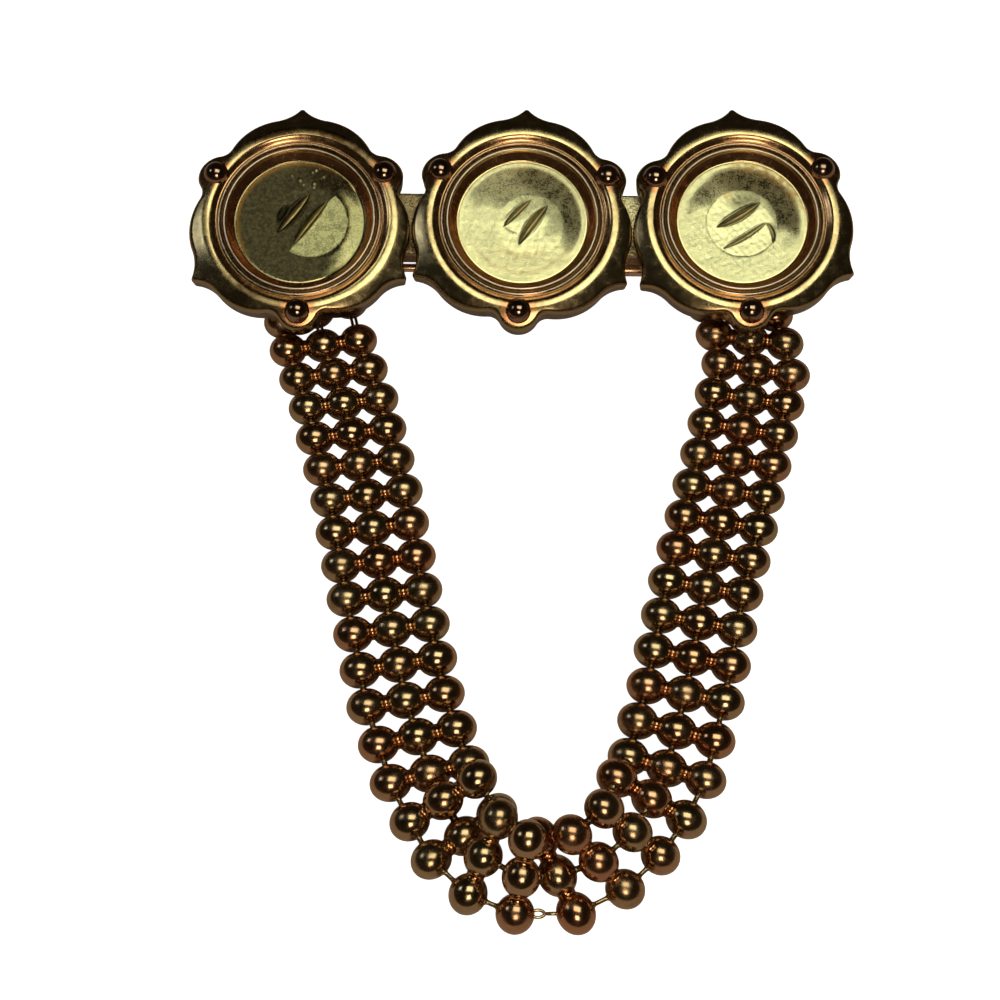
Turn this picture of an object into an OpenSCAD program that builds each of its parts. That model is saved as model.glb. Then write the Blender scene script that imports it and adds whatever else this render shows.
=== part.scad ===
// Collar chain brooch: three lobed medallions on a narrow bar with a hinged pin,
// and a V of three-strand bead chain that hangs from the two outer medallions.
// It lies face up on a surface. Millimetres, z up, y away from the viewer.

/* [Bar] */
// Distance of the bar's centre line behind the middle of the whole brooch
bar_y = 33; // [30:36]
// Height of the back of the bar above the surface, at its centre line
bar_height = 7; // [6.5:8]
// Lean of the bar: its far edge is higher, so it faces the viewer
bar_lean = 15.5; // [10:18]
// Length of the back plate
plate_length = 67; // [60:70]
// Distance of the plate's middle to the right of the brooch's middle
plate_shift = 0.25; // [0:0.5]
// Distance of the plate's centre line above the bar's centre line
plate_rise = 0.5; // [0:0.6]
// Turn of the plate behind the medallions, with its hinge, catch and pin
plate_turn = -0.65; // [-1:0]
// Width of the back plate
plate_width = 7.3; // [6:9]
// Depth of the back plate with its two folded edges
plate_depth = 2.6; // [2:3]
// Thickness of the sheet that the back plate is folded from
sheet = 0.8; // [0.6:1]
// Gap left between pieces that are fixed to each other
seat_gap = 0.05; // [0.02:0.1]

/* [Medallions] */
// Place of the left medallion along the bar
left_x = -24.45; // [-25.5:-24]
// Place of the middle medallion along the bar
middle_x = 0.1; // [-0.5:0.5]
// Place of the right medallion along the bar
right_x = 24.4; // [24:25]
// Turn of the left medallion on the bar
left_turn = 0.2; // [-4:4]
// Turn of the middle medallion on the bar
middle_turn = -2.4; // [-4:4]
// Turn of the right medallion on the bar
right_turn = 3.1; // [-4:4]
// Distance from the centre to the end of a point
point_reach = 13.6; // [13:14]
// Largest distance from the centre to the rounded shoulders beside a point
shoulder_reach = 12.3; // [12:12.6]
// Distance from the centre to the end of a round lobe
lobe_reach = 12.78; // [12.4:13]
// Radius of a round lobe
lobe_radius = 2.33; // [2:2.5]
// Diameter of the bead that sits on a lobe
lobe_bead_diameter = 2.9; // [2.5:3.2]
// Distance from the centre to a lobe bead
lobe_bead_reach = 10.7; // [10.5:11]
// Height of a lobe bead's middle above the plate's back
lobe_bead_height = 3.4; // [3.2:3.6]

/* [Profile of a medallion] */
// Height of the points' upper edge above the plate's back
edge_height = 2.6; // [2.4:2.8]
// Height of the bright crest of the flange
crest_height = 4; // [3.8:4.2]
// Radius of the crest
crest_radius = 10.2; // [10:10.4]
// Radius of the thin raised line inside the crest
line_radius = 9; // [8.9:9.1]
// Height of the thin line
line_height = 3.72; // [3.6:3.8]
// Depth of the groove between the thin line and the bezel
groove_depth = 0.3; // [0.2:0.4]
// Outer radius of the thin bezel
bezel_radius = 8.6; // [8.5:8.7]
// Height of the bezel
bezel_height = 3.8; // [3.7:3.9]
// Radius of the round seat for a stone, inside the bezel
seat_radius = 8.2; // [8.1:8.3]
// Straight depth of that seat
seat_depth = 0.5; // [0.4:0.6]
// Radius of the flat floor of the cup
floor_radius = 7.3; // [7:7.6]
// Height of the floor
floor_height = 2.6; // [2.4:2.8]
// Radius of the round spot pressed in the floor
spot_radius = 3.5; // [3:4]
// Length of a leaf-shaped cut in the floor
cut_length = 5.4; // [4:6]
// Width of a cut
cut_width = 1; // [0.8:1.4]
// Depth of a cut
cut_depth = 0.35; // [0.2:0.5]

/* [Chain] */
// Diameter of a chain bead
bead_diameter = 3.86; // [3.8:3.9]
// Thickness of the wall of a hollow bead
bead_wall = 0.33; // [0.3:0.4]
// Distance between beads soldered side by side in a row
bead_spacing = 3.93; // [3.9:4]
// Diameter of the solder between two beads
solder_diameter = 1.2; // [1:1.5]
// Diameter of the wire of a link
link_wire = 0.5; // [0.4:0.5]
// Diameter of the round head at each end of a link, captive in a bead
link_head = 1; // [0.9:1]
// Diameter of the hole that a link passes through
link_hole = 0.76; // [0.72:0.8]
// Distance of a link's head from the middle of its bead
head_setback = 1; // [0.95:1.05]
// Number of rows in the chain, with the two that are soldered to the medallions
row_count = 38; // [38:38]
// Last row of the left half of the chain
left_last = 18; // [18:18]
// Diameter of the post that holds an end row under its medallion
post_diameter = 2; // [1.6:2.4]
// Length of that post, from the middle of the row's middle bead
post_length = 4.6; // [4.5:4.8]

/* [Pin] */
// Distance of the pin behind the plate's back
pin_behind = 3.97; // [3.8:4.1]
// Distance of the pin below the plate's centre line
pin_below = 3.48; // [3.4:3.6]
// Place of the hinge along the bar
hinge_x = 31.5; // [31:32]
// Place of the catch along the bar
catch_x = -31.5; // [-32:-31]
// Diameter of the pin at the hinge
pin_thick = 1.4; // [1.2:1.45]
// Diameter of the pin's straight half towards the point
pin_thin = 0.95; // [0.8:1]
// Diameter of the pin where it lies in the catch
pin_slim = 0.8; // [0.7:0.9]
// Length of the tapered stretch behind the middle medallion
taper_length = 12; // [8:16]
// Length of the straight half
straight_length = 21; // [18:22]
// Length of the short taper before the catch
slim_length = 2; // [1:3]
// Length of the point
point_length = 3; // [2:4]
// Diameter of the hinge's axle
axle_diameter = 1; // [0.9:1.1]
// Clearance all round the axle
axle_clearance = 0.05; // [0.03:0.08]
// Diameter of the pin's round eye
eye_diameter = 2.5; // [2.3:2.6]
// Width of the pin's eye
eye_width = 1.5; // [1.3:1.7]
// Thickness of a hinge cheek
cheek = 0.8; // [0.7:0.9]
// Gap at each side of the eye
side_gap = 0.15; // [0.1:0.2]
// Width of the catch along the bar
catch_width = 2.4; // [2:3]
// Clearance at each side of the pin in the catch
catch_gap = 0.12; // [0.1:0.2]

/* [Hidden] */
$fn = 48;
over = 0.01;

medallion_base = sheet + seat_gap;
fold_height = plate_depth - sheet;
bead_radius = bead_diameter / 2;
hollow_radius = bead_radius - bead_wall;
bore_length = bead_radius + 0.15;
ball_turn = 150;

// The outline's round shoulders, points and the fillets between them
shoulder_radius = 6.5;
shoulder_turn = 18;
tip_radius = 0.3;
tip_fillet = 4;
lobe_fillet = 1.5;
point_directions = [90, 210, 330];

solder_start = bead_radius - 0.15;

// Two places on the flange between its crest and its edge: radius and height
flange_brow = [11.5, 3.72];
flange_slope = [12.6, 3.22];

// The cheeks and the catch reach down almost to the surface that the brooch lies on
cheek_radius = 1.85;
catch_depth = 6.1;
catch_wall = 0.9;
base_thickness = 0.7;
base_length = 5;
base_top = -fold_height - seat_gap;

// Rows of the chain that are placed by hand; the rows between them follow evenly.
// Each has its number from the left, the place of its middle bead from the bar's centre line,
// the direction from its outer to its inner bead, and how steeply that direction rises.
ROW = 0;
X = 1;
Y = 2;
TURN = 3;
RISE = 4;
placed_rows = [
    [0, -22.95, -7.45, 19.5, 0.0],
    [1, -21.95, -12.00, 9.5, 0.0],
    [3, -19.40, -19.65, 8.5, 0.0],
    [6, -16.50, -31.25, 8.5, 0.0],
    [9, -14.25, -43.05, 7.5, 0.0],
    [12, -11.80, -54.95, 10.5, 0.0],
    [14, -9.25, -62.80, 14.5, 0.0],
    [15, -7.85, -66.20, 26.0, 23.0],
    [16, -5.80, -69.25, 37.0, 0.0],
    [17, -3.95, -72.10, 64.0, 33.0],
    [18, -0.35, -74.40, 77.5, 47.0],
    [19, 3.10, -73.60, 117.5, 16.0],
    [20, 7.00, -72.70, 144.0, 36.0],
    [21, 10.30, -69.75, 152.0, 37.0],
    [22, 12.35, -65.85, 153.0, 16.0],
    [23, 14.05, -62.25, 162.0, 0.0],
    [25, 16.25, -54.25, 167.0, 0.0],
    [28, 18.90, -42.25, 169.0, 0.0],
    [31, 21.95, -30.70, 169.5, 0.0],
    [34, 24.90, -19.10, 169.5, 0.0],
    [35, 25.80, -15.20, 169.5, 0.0],
    [36, 25.40, -11.15, 171.0, 0.0],
    [37, 24.50, -7.25, 171.0, 0.0]
];

GOLD = [0.83, 0.62, 0.30];
PALE_GOLD = [0.85, 0.74, 0.42];

// A value of a row, even between the placed rows
function row_value(row, column) = lookup(row, [for (r = placed_rows) [r[ROW], r[column]]]);

// The direction of a row from its outer to its inner bead
function row_direction(row) =
    let (turn = row_value(row, TURN), rise = row_value(row, RISE))
    [cos(turn) * cos(rise), sin(turn) * cos(rise), sin(rise)];

// The middle of a bead: side is -1 for the outer strand, 0 for the middle one and 1 for the inner one
function bead_place(row, side) =
    let (middle_height = bead_radius + bead_spacing * sin(row_value(row, RISE)))
    [row_value(row, X), bar_y + row_value(row, Y), middle_height] + side * bead_spacing * row_direction(row);

// A point at a distance and direction from the centre
function polar(reach, direction) = [reach * cos(direction), reach * sin(direction)];

// The centre of the circle that touches two others from outside, on the side given by 1 or -1
function touching_centre(a, radius_a, b, radius_b, fillet, side) =
    let (
        span = norm(b - a),
        from_a = radius_a + fillet,
        from_b = radius_b + fillet,
        along = (from_a * from_a - from_b * from_b + span * span) / (2 * span),
        away = sqrt(from_a * from_a - along * along),
        ahead = (b - a) / span
    )
    a + along * ahead + side * away * [-ahead[1], ahead[0]];

// Puts its children in the leaning frame of the bar: z = 0 is the plate's back, y is up the bar
module on_bar() {
    translate([0, bar_y, bar_height])
        rotate([bar_lean, 0, 0])
            children();
}

// Puts its children in the frame of the plate, which sits a little high and askew on the bar
module on_plate() {
    on_bar()
        translate([0, plate_rise, 0])
            rotate(plate_turn)
                children();
}

// Draws its children with z along the way from one point to another
module aimed(start, end) {
    way = end - start;
    translate(start)
        rotate([0, acos(way[2] / norm(way)), atan2(way[1], way[0])])
            children();
}

module circle_at(centre, radius) {
    translate(centre)
        circle(r = radius);
}

// Points along an arc, from its first direction the short way round to its last, without its end
function arc(centre, radius, first, last, steps) =
    let (turn = last - first, way = turn - 360 * round(turn / 360))
    [for (i = [0:steps - 1]) centre + polar(radius, first + way * i / steps)];

// The direction from one point to another
function direction_to(start, end) = atan2(end[1] - start[1], end[0] - start[0]);

// The outline from a point, which is along x, to the middle of the next lobe
function outline_stretch() =
    let (
        tip = [point_reach - tip_radius, 0],
        shoulder = polar(shoulder_reach - shoulder_radius, shoulder_turn),
        lobe = polar(lobe_reach - lobe_radius, 60),
        hollow = touching_centre(shoulder, shoulder_radius, tip, tip_radius, tip_fillet, 1),
        neck = touching_centre(shoulder, shoulder_radius, lobe, lobe_radius, lobe_fillet, -1)
    )
    concat(
        arc(tip, tip_radius, 0, direction_to(tip, hollow), 2),
        arc(hollow, tip_fillet, direction_to(hollow, tip), direction_to(hollow, shoulder), 6),
        arc(shoulder, shoulder_radius, direction_to(shoulder, hollow), direction_to(shoulder, neck), 8),
        arc(neck, lobe_fillet, direction_to(neck, shoulder), direction_to(neck, lobe), 5),
        arc(lobe, lobe_radius, direction_to(lobe, neck), 60, 8)
    );

// The stretch and its mirror image, which starts just after the middle of the lobe before
module medallion_outline() {
    stretch = outline_stretch();
    last = len(stretch) - 1;
    lobe_end = polar(lobe_reach, -60);
    mirrored = concat([lobe_end], [for (i = [last:-1:1]) [stretch[i][0], -stretch[i][1]]]);
    polygon([
        for (direction = point_directions)
            for (place = concat(mirrored, stretch))
                polar(norm(place), direction + atan2(place[1], place[0]))
    ]);
}

// The turned shape of a medallion: cup, bezel, groove, thin line, crest and falling flange
module medallion_turning() {
    wide = point_reach + 1;
    groove_height = line_height - groove_depth;
    rotate_extrude()
        difference() {
            polygon([
                [0, medallion_base],
                [wide, medallion_base],
                [wide, edge_height - 0.5],
                [point_reach, edge_height],
                flange_slope,
                flange_brow,
                [crest_radius + 0.35, crest_height - 0.03],
                [crest_radius - 0.15, crest_height],
                [9.75, crest_height - 0.18],
                [9.3, line_height - 0.12],
                [line_radius + 0.12, line_height],
                [line_radius - 0.1, line_height],
                [8.8, groove_height],
                [bezel_radius, groove_height],
                [bezel_radius, bezel_height - 0.12],
                [bezel_radius - 0.12, bezel_height],
                [seat_radius, bezel_height],
                [seat_radius, bezel_height - seat_depth],
                [seat_radius - 0.25, bezel_height - seat_depth - 0.1],
                [floor_radius, floor_height],
                [0, floor_height]
            ]);
            translate([-over, floor_height - 0.06])
                square([spot_radius + over, 1]);
        }
}

// A leaf-shaped cut where two arcs meet in two points
module leaf_cut() {
    half = cut_length / 2;
    bow = cut_width / 2;
    radius = (half * half + bow * bow) / (2 * bow);
    translate([0, 0, floor_height - cut_depth])
        linear_extrude(height = 2)
            intersection() {
                circle_at([0, radius - bow], radius);
                circle_at([0, bow - radius], radius);
            }
}

// A medallion in its own frame, with the places and direction of its two cuts
module medallion_shape(cuts) {
    difference() {
        intersection() {
            linear_extrude(height = crest_height + 1)
                medallion_outline();
            medallion_turning();
        }
        for (cut = cuts)
            translate([cut[0], cut[1], 0])
                rotate(cut[2])
                    leaf_cut();
    }
    for (direction = point_directions)
        rotate([0, 0, direction + 60])
            translate([lobe_bead_reach, 0, lobe_bead_height])
                sphere(d = lobe_bead_diameter);
}

// The bore that lets a link out of a bead, drilled from the bead's middle
module link_bore(row, side, next) {
    aimed(bead_place(row, side), bead_place(next, side))
        cylinder(d = link_hole, h = bore_length);
}

// A ball in the place of a bead; it is turned with its row, so that no bore grazes its start
module row_ball(row, side, radius) {
    translate(bead_place(row, side))
        rotate(row_value(row, TURN) + ball_turn)
            sphere(r = radius);
}

// The solid beads of a row with the solder between them
module row_outside(row) {
    for (side = [-1, 0, 1])
        row_ball(row, side, bead_radius);
    for (side = [-1, 0])
        aimed(bead_place(row, side), bead_place(row, side + 1))
            translate([0, 0, solder_start])
                cylinder(d = solder_diameter, h = bead_spacing - 2 * solder_start);
}

// The hollows of a row and its bores towards the rows beside it
module row_inside(row, neighbours) {
    for (side = [-1, 0, 1]) {
        row_ball(row, side, hollow_radius);
        for (next = neighbours)
            link_bore(row, side, next);
    }
}

module bead_row(row) {
    difference() {
        row_outside(row);
        row_inside(row, [row - 1, row + 1]);
    }
}

// A short wire with a round head in each of the two beads that it joins
module bead_link(row, side) {
    start = bead_place(row, side);
    end = bead_place(row + 1, side);
    span = norm(end - start);
    aimed(start, end) {
        translate([0, 0, head_setback])
            sphere(d = link_head);
        translate([0, 0, head_setback])
            cylinder(d = link_wire, h = span - 2 * head_setback);
        translate([0, 0, span - head_setback])
            sphere(d = link_head);
    }
}

// The rows from first to last, and the links after each row from first_link to last_link
module chain_half(first, last, first_link, last_link) {
    for (row = [first:last])
        bead_row(row);
    for (row = [first_link:last_link])
        for (side = [-1, 0, 1])
            bead_link(row, side);
}

// An outer medallion with the end row of the chain on a post behind it
module end_medallion(x, turn, cuts, row, neighbour) {
    foot = bead_place(row, 0);
    difference() {
        union() {
            on_bar()
                translate([x, 0, 0])
                    rotate(turn)
                        medallion_shape(cuts);
            row_outside(row);
            translate(foot)
                cylinder(d = post_diameter, h = post_length);
        }
        row_inside(row, [neighbour]);
    }
}

module back_plate() {
    half = plate_width / 2;
    color(PALE_GOLD)
        on_plate()
            translate([plate_shift - plate_length / 2, 0, 0]) {
                translate([0, -half, 0])
                    cube([plate_length, plate_width, sheet]);
                for (edge = [-half, half - sheet])
                    translate([0, edge, -fold_height])
                        cube([plate_length, sheet, fold_height + over]);
            }
}

module left_medallion() {
    color(GOLD)
        end_medallion(left_x, left_turn, [[-1.1, 0.4, 52], [0.8, -0.3, 52]], 0, 1);
}

module middle_medallion() {
    color(GOLD)
        on_bar()
            translate([middle_x, 0, 0])
                rotate(middle_turn)
                    medallion_shape([[-0.9, 0.6, 46], [0.8, -0.2, 56]]);
}

module right_medallion() {
    color(GOLD)
        end_medallion(right_x, right_turn, [[-0.6, 0.4, 32], [0.2, -0.9, 58]], row_count - 1, row_count - 2);
}

// The base on the plate's folds that the hinge and the catch stand on
module finding_base(length, low) {
    translate([-length / 2, low, base_top - base_thickness])
        cube([length, plate_width / 2 - low, base_thickness]);
}

module hinge_body() {
    side = eye_width / 2 + side_gap;
    outer = -pin_below - side - cheek;
    color(GOLD)
        on_plate()
            translate([hinge_x, 0, 0]) {
                finding_base(base_length, outer);
                for (low = [outer, -pin_below + side])
                    translate([0, low, 0])
                        hinge_cheek();
                translate([0, outer + over, -pin_behind])
                    rotate([-90, 0, 0])
                        cylinder(d = axle_diameter, h = 2 * (side + cheek) - 2 * over);
            }
}

// A rounded cheek that stands on the base
module hinge_cheek() {
    translate([0, 0, -pin_behind])
        rotate([-90, 0, 0])
            cylinder(r = cheek_radius, h = cheek);
    translate([-cheek_radius, 0, -pin_behind])
        cube([2 * cheek_radius, cheek, pin_behind + base_top - over]);
}

// An open saddle: two walls guard the pin's point and it swings out between them
module catch_body() {
    slot = pin_slim + 2 * catch_gap;
    low = -pin_below - slot / 2 - catch_wall;
    seat = -pin_behind + pin_slim / 2 + catch_gap;
    color(GOLD)
        on_plate()
            translate([catch_x, 0, 0]) {
                finding_base(catch_width + 1, low);
                difference() {
                    translate([-catch_width / 2, low, -catch_depth])
                        cube([catch_width, slot + 2 * catch_wall, catch_depth + base_top - over]);
                    translate([-catch_width, low + catch_wall, -catch_depth - 1])
                        cube([2 * catch_width, slot, 1 + catch_depth + seat]);
                }
            }
}

module pin_stem() {
    taper_start = hinge_x - taper_length / 2;
    taper_end = taper_start + taper_length;
    slim_start = taper_end + straight_length;
    slim_end = slim_start + slim_length;
    point_start = hinge_x - catch_x + catch_width / 2 + 0.3;
    color(PALE_GOLD)
        on_plate()
            translate([hinge_x, -pin_below, -pin_behind])
                difference() {
                    union() {
                        rotate([90, 0, 0])
                            cylinder(d = eye_diameter, h = eye_width, center = true);
                        pin_stretch(0, taper_start, pin_thick, pin_thick);
                        pin_stretch(taper_start, taper_end, pin_thick, pin_thin);
                        pin_stretch(taper_end, slim_start, pin_thin, pin_thin);
                        pin_stretch(slim_start, slim_end, pin_thin, pin_slim);
                        pin_stretch(slim_end, point_start, pin_slim, pin_slim);
                        pin_stretch(point_start, point_start + point_length, pin_slim, 0.2);
                    }
                    rotate([90, 0, 0])
                        cylinder(d = axle_diameter + 2 * axle_clearance, h = 2 * eye_width, center = true);
                }
}

// A round stretch of the pin, by its distances from the hinge and its diameters there
module pin_stretch(start, end, start_diameter, end_diameter) {
    translate([-start, 0, 0])
        rotate([0, -90, 0])
            cylinder(d1 = start_diameter, d2 = end_diameter, h = end - start);
}

module chain_left() {
    color(GOLD)
        chain_half(1, left_last, 0, left_last);
}

module chain_right() {
    color(GOLD)
        chain_half(left_last + 1, row_count - 2, left_last + 1, row_count - 2);
}

back_plate();
left_medallion();
middle_medallion();
right_medallion();
hinge_body();
catch_body();
pin_stem();
chain_left();
chain_right();
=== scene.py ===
"""Looks of the collar chain brooch: three lobed medallions on a bar, and a drape of bead chain.

Shapes are worked out in millimetres and turned into metres when a mesh is made.
The surface that the brooch lies on is z = 0, and y runs away from the viewer.
"""

import math

import bmesh
import bpy
import numpy as np
from mathutils import Matrix, Vector


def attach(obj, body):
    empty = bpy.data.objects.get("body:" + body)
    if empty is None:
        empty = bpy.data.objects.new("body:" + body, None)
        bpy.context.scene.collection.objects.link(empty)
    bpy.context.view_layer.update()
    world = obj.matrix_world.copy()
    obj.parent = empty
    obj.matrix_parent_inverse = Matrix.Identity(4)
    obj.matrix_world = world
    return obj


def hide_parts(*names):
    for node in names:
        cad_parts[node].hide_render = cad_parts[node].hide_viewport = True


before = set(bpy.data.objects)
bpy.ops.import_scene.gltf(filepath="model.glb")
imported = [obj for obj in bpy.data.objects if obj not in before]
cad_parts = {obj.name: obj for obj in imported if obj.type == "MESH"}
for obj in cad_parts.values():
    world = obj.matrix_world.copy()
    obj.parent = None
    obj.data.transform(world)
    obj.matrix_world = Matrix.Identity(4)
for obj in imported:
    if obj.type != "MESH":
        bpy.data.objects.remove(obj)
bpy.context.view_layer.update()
scene = bpy.context.scene

MM = 0.001
BODY = "brooch"

# The bar's frame: z = 0 is the back of the plate, y runs up the bar
BAR_Y = 33.0
BAR_HEIGHT = 7.0
BAR_LEAN = math.radians(15.5)
PLATE_LENGTH = 67.0
PLATE_SHIFT = 0.25
PLATE_RISE = 0.5
PLATE_TURN = -0.65
PLATE_WIDTH = 7.3
PLATE_DEPTH = 2.6
SHEET = 0.8

# Medallions. The outline is made of arcs: a point, its shoulders and a lobe, joined by hollow fillets
POINT_REACH = 13.6
TIP_RADIUS = 0.3
SHOULDER_REACH = 12.3
SHOULDER_RADIUS = 6.5
SHOULDER_TURN = 18
LOBE_REACH = 12.78
LOBE_RADIUS = 2.33
TIP_FILLET = 4.0
LOBE_FILLET = 1.5
POINT_DIRECTIONS = (90, 210, 330)
FLOOR_HEIGHT = 2.6
FLOOR_REACH = 7.14
CREST_HEIGHT = 4.01
EDGE_ROUND = 0.42
UNDERSIDE = 0.85
BACK_DEPTH = 0.45
BACK_INSET = 1.9
COLUMNS = 420
LOBE_BEAD_RADIUS = 1.45
LOBE_BEAD_REACH = 10.7
LOBE_BEAD_HEIGHT = 3.4

# Chain. The beads here are a little narrower and longer than the solids' round ones
CAD_BEAD_RADIUS = 1.93
BEAD_RADIUS = 1.86
BEAD_STRETCH = 1.12
BEAD_SPACING = 3.93
NECK_RADIUS = 0.88
NECK_HALF = 0.42
LINK_WIRE = 0.17
LINK_WAIST = 0.23
LINK_FLARE = 0.62
TIGHT_GAP = 0.27
LAST_LEFT_ROW = 18
LAST_ROW = 37
OUTER, MIDDLE, INNER = -1, 0, 1

# The order of the finishes of a medallion and of the chain
CASTING, CUP, LOBE_BEAD = range(3)
BEAD, LINK, NECK = range(3)

# Rows given one by one, from the left: number, place of the middle bead from the bar's centre
# line, direction from the outer to the inner bead, and how steeply that direction rises
PLACED_ROWS = np.array([
    (0, -22.95, -7.45, 19.5, 0),
    (1, -21.95, -12.00, 9.5, 0),
    (3, -19.40, -19.65, 8.5, 0),
    (6, -16.50, -31.25, 8.5, 0),
    (9, -14.25, -43.05, 7.5, 0),
    (12, -11.80, -54.95, 10.5, 0),
    (14, -9.25, -62.80, 14.5, 0),
    (15, -7.85, -66.20, 26, 23),
    (16, -5.80, -69.25, 37, 0),
    (17, -3.95, -72.10, 64, 33),
    (18, -0.35, -74.40, 77.5, 47),
    (19, 3.10, -73.60, 117.5, 16),
    (20, 7.00, -72.70, 144, 36),
    (21, 10.30, -69.75, 152, 37),
    (22, 12.35, -65.85, 153, 16),
    (23, 14.05, -62.25, 162, 0),
    (25, 16.25, -54.25, 167, 0),
    (28, 18.90, -42.25, 169, 0),
    (31, 21.95, -30.70, 169.5, 0),
    (34, 24.90, -19.10, 169.5, 0),
    (35, 25.80, -15.20, 169.5, 0),
    (36, 25.40, -11.15, 171, 0),
    (37, 24.50, -7.25, 171, 0),
], dtype=[(value, float) for value in ("row", "x", "y", "turn", "rise")])


# ---- Shapes ----

def polar(reach, degrees):
    """A point of the plane at a distance and direction."""
    turn = math.radians(degrees)
    return np.array((reach * math.cos(turn), reach * math.sin(turn)))


def smooth(value, low, high):
    """0 below low, 1 above high, and an even curve between them."""
    part = np.clip((value - low) / (high - low), 0, 1)
    return part * part * (3 - 2 * part)


def rounded(points, rounds=2):
    """A broken line with its corners cut away, which rounds them."""
    points = np.asarray(points, float)
    for _ in range(rounds):
        start, end = points[:-1], points[1:]
        cut = np.empty((2 * len(start), points.shape[1]))
        cut[0::2] = 0.75 * start + 0.25 * end
        cut[1::2] = 0.25 * start + 0.75 * end
        points = np.vstack([points[:1], cut, points[-1:]])
    return points


def across(axis):
    """Two unit directions square to an axis and to each other."""
    axis = axis / np.linalg.norm(axis)
    helper = np.array((0.0, 0.0, 1.0)) if abs(axis[2]) < 0.9 else np.array((1.0, 0.0, 0.0))
    first = np.cross(helper, axis)
    first /= np.linalg.norm(first)
    return first, np.cross(axis, first)


class Shape:
    """The vertices and faces of one piece, gathered part by part, and the marks its finishes read."""

    def __init__(self):
        self.places = []
        self.faces = []
        self.finishes = []
        self.marks = {}
        self.count = 0

    def add(self, places, faces, finish, **marks):
        self.places.append(places)
        self.faces.extend([[corner + self.count for corner in face] for face in faces])
        self.finishes.extend([finish] * len(faces))
        for name, value in marks.items():
            self.marks.setdefault(name, []).append((self.count, len(places), value))
        self.count += len(places)

    def add_rings(self, rings, finish, closed=False, **marks):
        """Rings of equal length joined in turn. A closed tube has an end face at each end."""
        columns = len(rings[0])
        faces = []
        for row in range(len(rings) - 1):
            low, high = row * columns, (row + 1) * columns
            for column in range(columns):
                after = (column + 1) % columns
                faces.append((low + column, low + after, high + after, high + column))
        if closed:
            faces.append(tuple(reversed(range(columns))))
            last = (len(rings) - 1) * columns
            faces.append(tuple(range(last, last + columns)))
        self.add(np.vstack(rings), faces, finish, **marks)

    def add_turned(self, start, axis, profile, columns, finish, **marks):
        """A shape turned round an axis: the profile gives distances along it and radii."""
        start, axis = np.asarray(start, float), np.asarray(axis, float)
        axis = axis / np.linalg.norm(axis)
        first, second = across(axis)
        turns = np.linspace(0, 2 * math.pi, columns, endpoint=False)
        circle = np.outer(np.cos(turns), first) + np.outer(np.sin(turns), second)
        rings = [start + axis * along + circle * radius for along, radius in profile]
        self.add_rings(rings, finish, closed=True, **marks)

    def add_ball(self, centre, radius, axis, columns, rows, finish, stretch=1.0, **marks):
        """A ball, or an egg that is stretched along its axis. Each pole is a tiny flat face."""
        turns = np.linspace(0, math.pi, rows + 1)
        turns[0], turns[-1] = 0.02, math.pi - 0.02
        profile = [(-radius * stretch * math.cos(turn), radius * math.sin(turn)) for turn in turns]
        self.add_turned(centre, axis, profile, columns, finish, **marks)

    def add_wire(self, path, radius, columns, finish, closed=False, **marks):
        """A round wire along a path. A closed path comes back to its start."""
        path = np.asarray(path, float)
        if closed:
            ways = np.roll(path, -1, 0) - np.roll(path, 1, 0)
        else:
            ways = np.gradient(path, axis=0)
        turns = np.linspace(0, 2 * math.pi, columns, endpoint=False)
        rings = []
        first = across(ways[0])[0]
        for place, way in zip(path, ways):
            way = way / np.linalg.norm(way)
            first = first - way * first.dot(way)
            first /= np.linalg.norm(first)
            second = np.cross(way, first)
            circle = np.outer(np.cos(turns), first) + np.outer(np.sin(turns), second)
            rings.append(place + radius * circle)
        if closed:
            rings.append(rings[0].copy())
        self.add_rings(rings, finish, closed=not closed, **marks)

    def make(self, name, finishes, place=Matrix.Identity(4), sharp=None):
        """The mesh object of this shape, with its materials, in metres where it is used."""
        placing = np.array(place)
        places = np.vstack(self.places) * MM @ placing[:3, :3].T + placing[:3, 3]
        mesh = bpy.data.meshes.new(name)
        mesh.from_pydata(places.tolist(), [], self.faces)
        mesh.polygons.foreach_set("material_index", self.finishes)
        for finish in finishes:
            mesh.materials.append(finish)
        for mark, stretches in self.marks.items():
            values = np.zeros(self.count)
            for start, length, value in stretches:
                values[start:start + length] = value
            mesh.attributes.new(mark, "FLOAT", "POINT").data.foreach_set("value", values)
        work = bmesh.new()
        work.from_mesh(mesh)
        bmesh.ops.remove_doubles(work, verts=work.verts, dist=1e-7)
        bmesh.ops.recalc_face_normals(work, faces=work.faces)
        work.to_mesh(mesh)
        work.free()
        mesh.polygons.foreach_set("use_smooth", [True] * len(mesh.polygons))
        if sharp is not None:
            mesh.set_sharp_from_angle(angle=math.radians(sharp))
        piece = bpy.data.objects.new(name, mesh)
        scene.collection.objects.link(piece)
        return piece


def bar_place(x, y, turn):
    """Where something on the bar goes, from its own frame."""
    return (
        Matrix.Translation(Vector((0, BAR_Y, BAR_HEIGHT)) * MM)
        @ Matrix.Rotation(BAR_LEAN, 4, "X")
        @ Matrix.Translation((x * MM, y * MM, 0))
        @ Matrix.Rotation(math.radians(turn), 4, "Z")
    )


# ---- Finishes ----

def group_with(name, inputs, outputs):
    """An empty shader node group, what it is given and what it gives back.

    Each input has a name, kind and default, and each output a name and kind.
    """
    group = bpy.data.node_groups.new(name, "ShaderNodeTree")
    for socket, kind, value in inputs:
        made = group.interface.new_socket(name=socket, in_out="INPUT", socket_type="NodeSocket" + kind)
        made.default_value = value
    for socket, kind in outputs:
        group.interface.new_socket(name=socket, in_out="OUTPUT", socket_type="NodeSocket" + kind)
    given = group.nodes.new("NodeGroupInput").outputs
    return group, given, group.nodes.new("NodeGroupOutput").inputs


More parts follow.
